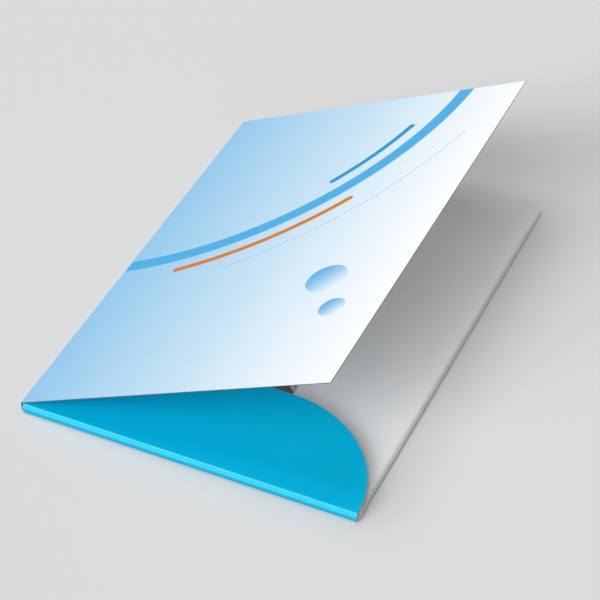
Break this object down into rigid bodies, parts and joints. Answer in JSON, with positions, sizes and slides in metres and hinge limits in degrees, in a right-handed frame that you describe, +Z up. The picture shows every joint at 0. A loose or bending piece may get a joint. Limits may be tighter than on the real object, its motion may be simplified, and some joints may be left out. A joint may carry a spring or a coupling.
{
  "type": "presentation folder",
  "caption": "Creased card presentation folder with a hinged front cover, narrow spine, gusseted pocket with a quarter-round corner, and a loose leaflet.",
  "frame": {"origin": "on the table, under the middle of the back cover, with the folder lying on its back cover", "axes": "+X from the spine towards the free edges, +Y along the spine from the pocket's edge to the far edge, +Z up"},
  "size_m": [0.218, 0.31, 0.1013],
  "materials": {
    "printed_card": "satin",
    "white_card": "matte",
    "cyan_card": "satin",
    "adhesive": "gloss",
    "leaflet_paper": "satin"
  },
  "bodies": {
    "base": {"back_cover": "white_card", "base_crease": "cyan_card", "bottom_gusset": "cyan_card", "pocket_crease": "cyan_card", "pocket_panel": "cyan_card", "side_crease": "cyan_card", "side_gusset": "cyan_card", "tab_crease": "cyan_card", "glue_tab": "cyan_card", "adhesive_strip": "adhesive"},
    "spine": {"rear_crease": "printed_card", "spine_panel": "printed_card", "front_crease": "printed_card"},
    "front": {"front_cover": "printed_card"},
    "leaflet": {"insert_leaflet": "leaflet_paper"}
  },
  "joints": [
    {"name": "rear_crease_fold", "type": "hinge", "parent": "base", "child": "spine", "pos_m": [-0.10875, 0, 0.00025], "axis": [0, -1, 0], "range_deg": [0, 90]},
    {"name": "front_crease_fold", "type": "hinge", "parent": "spine", "child": "front", "pos_m": [-0.10875, 0, 0.00755], "axis": [0, -1, 0], "range_deg": [-25.2, 64.8]},
    {"name": "leaflet_slide", "type": "slide", "parent": "base", "child": "leaflet", "axis": [0, 1, 0], "range_m": [0, 0.08]}
  ]
}
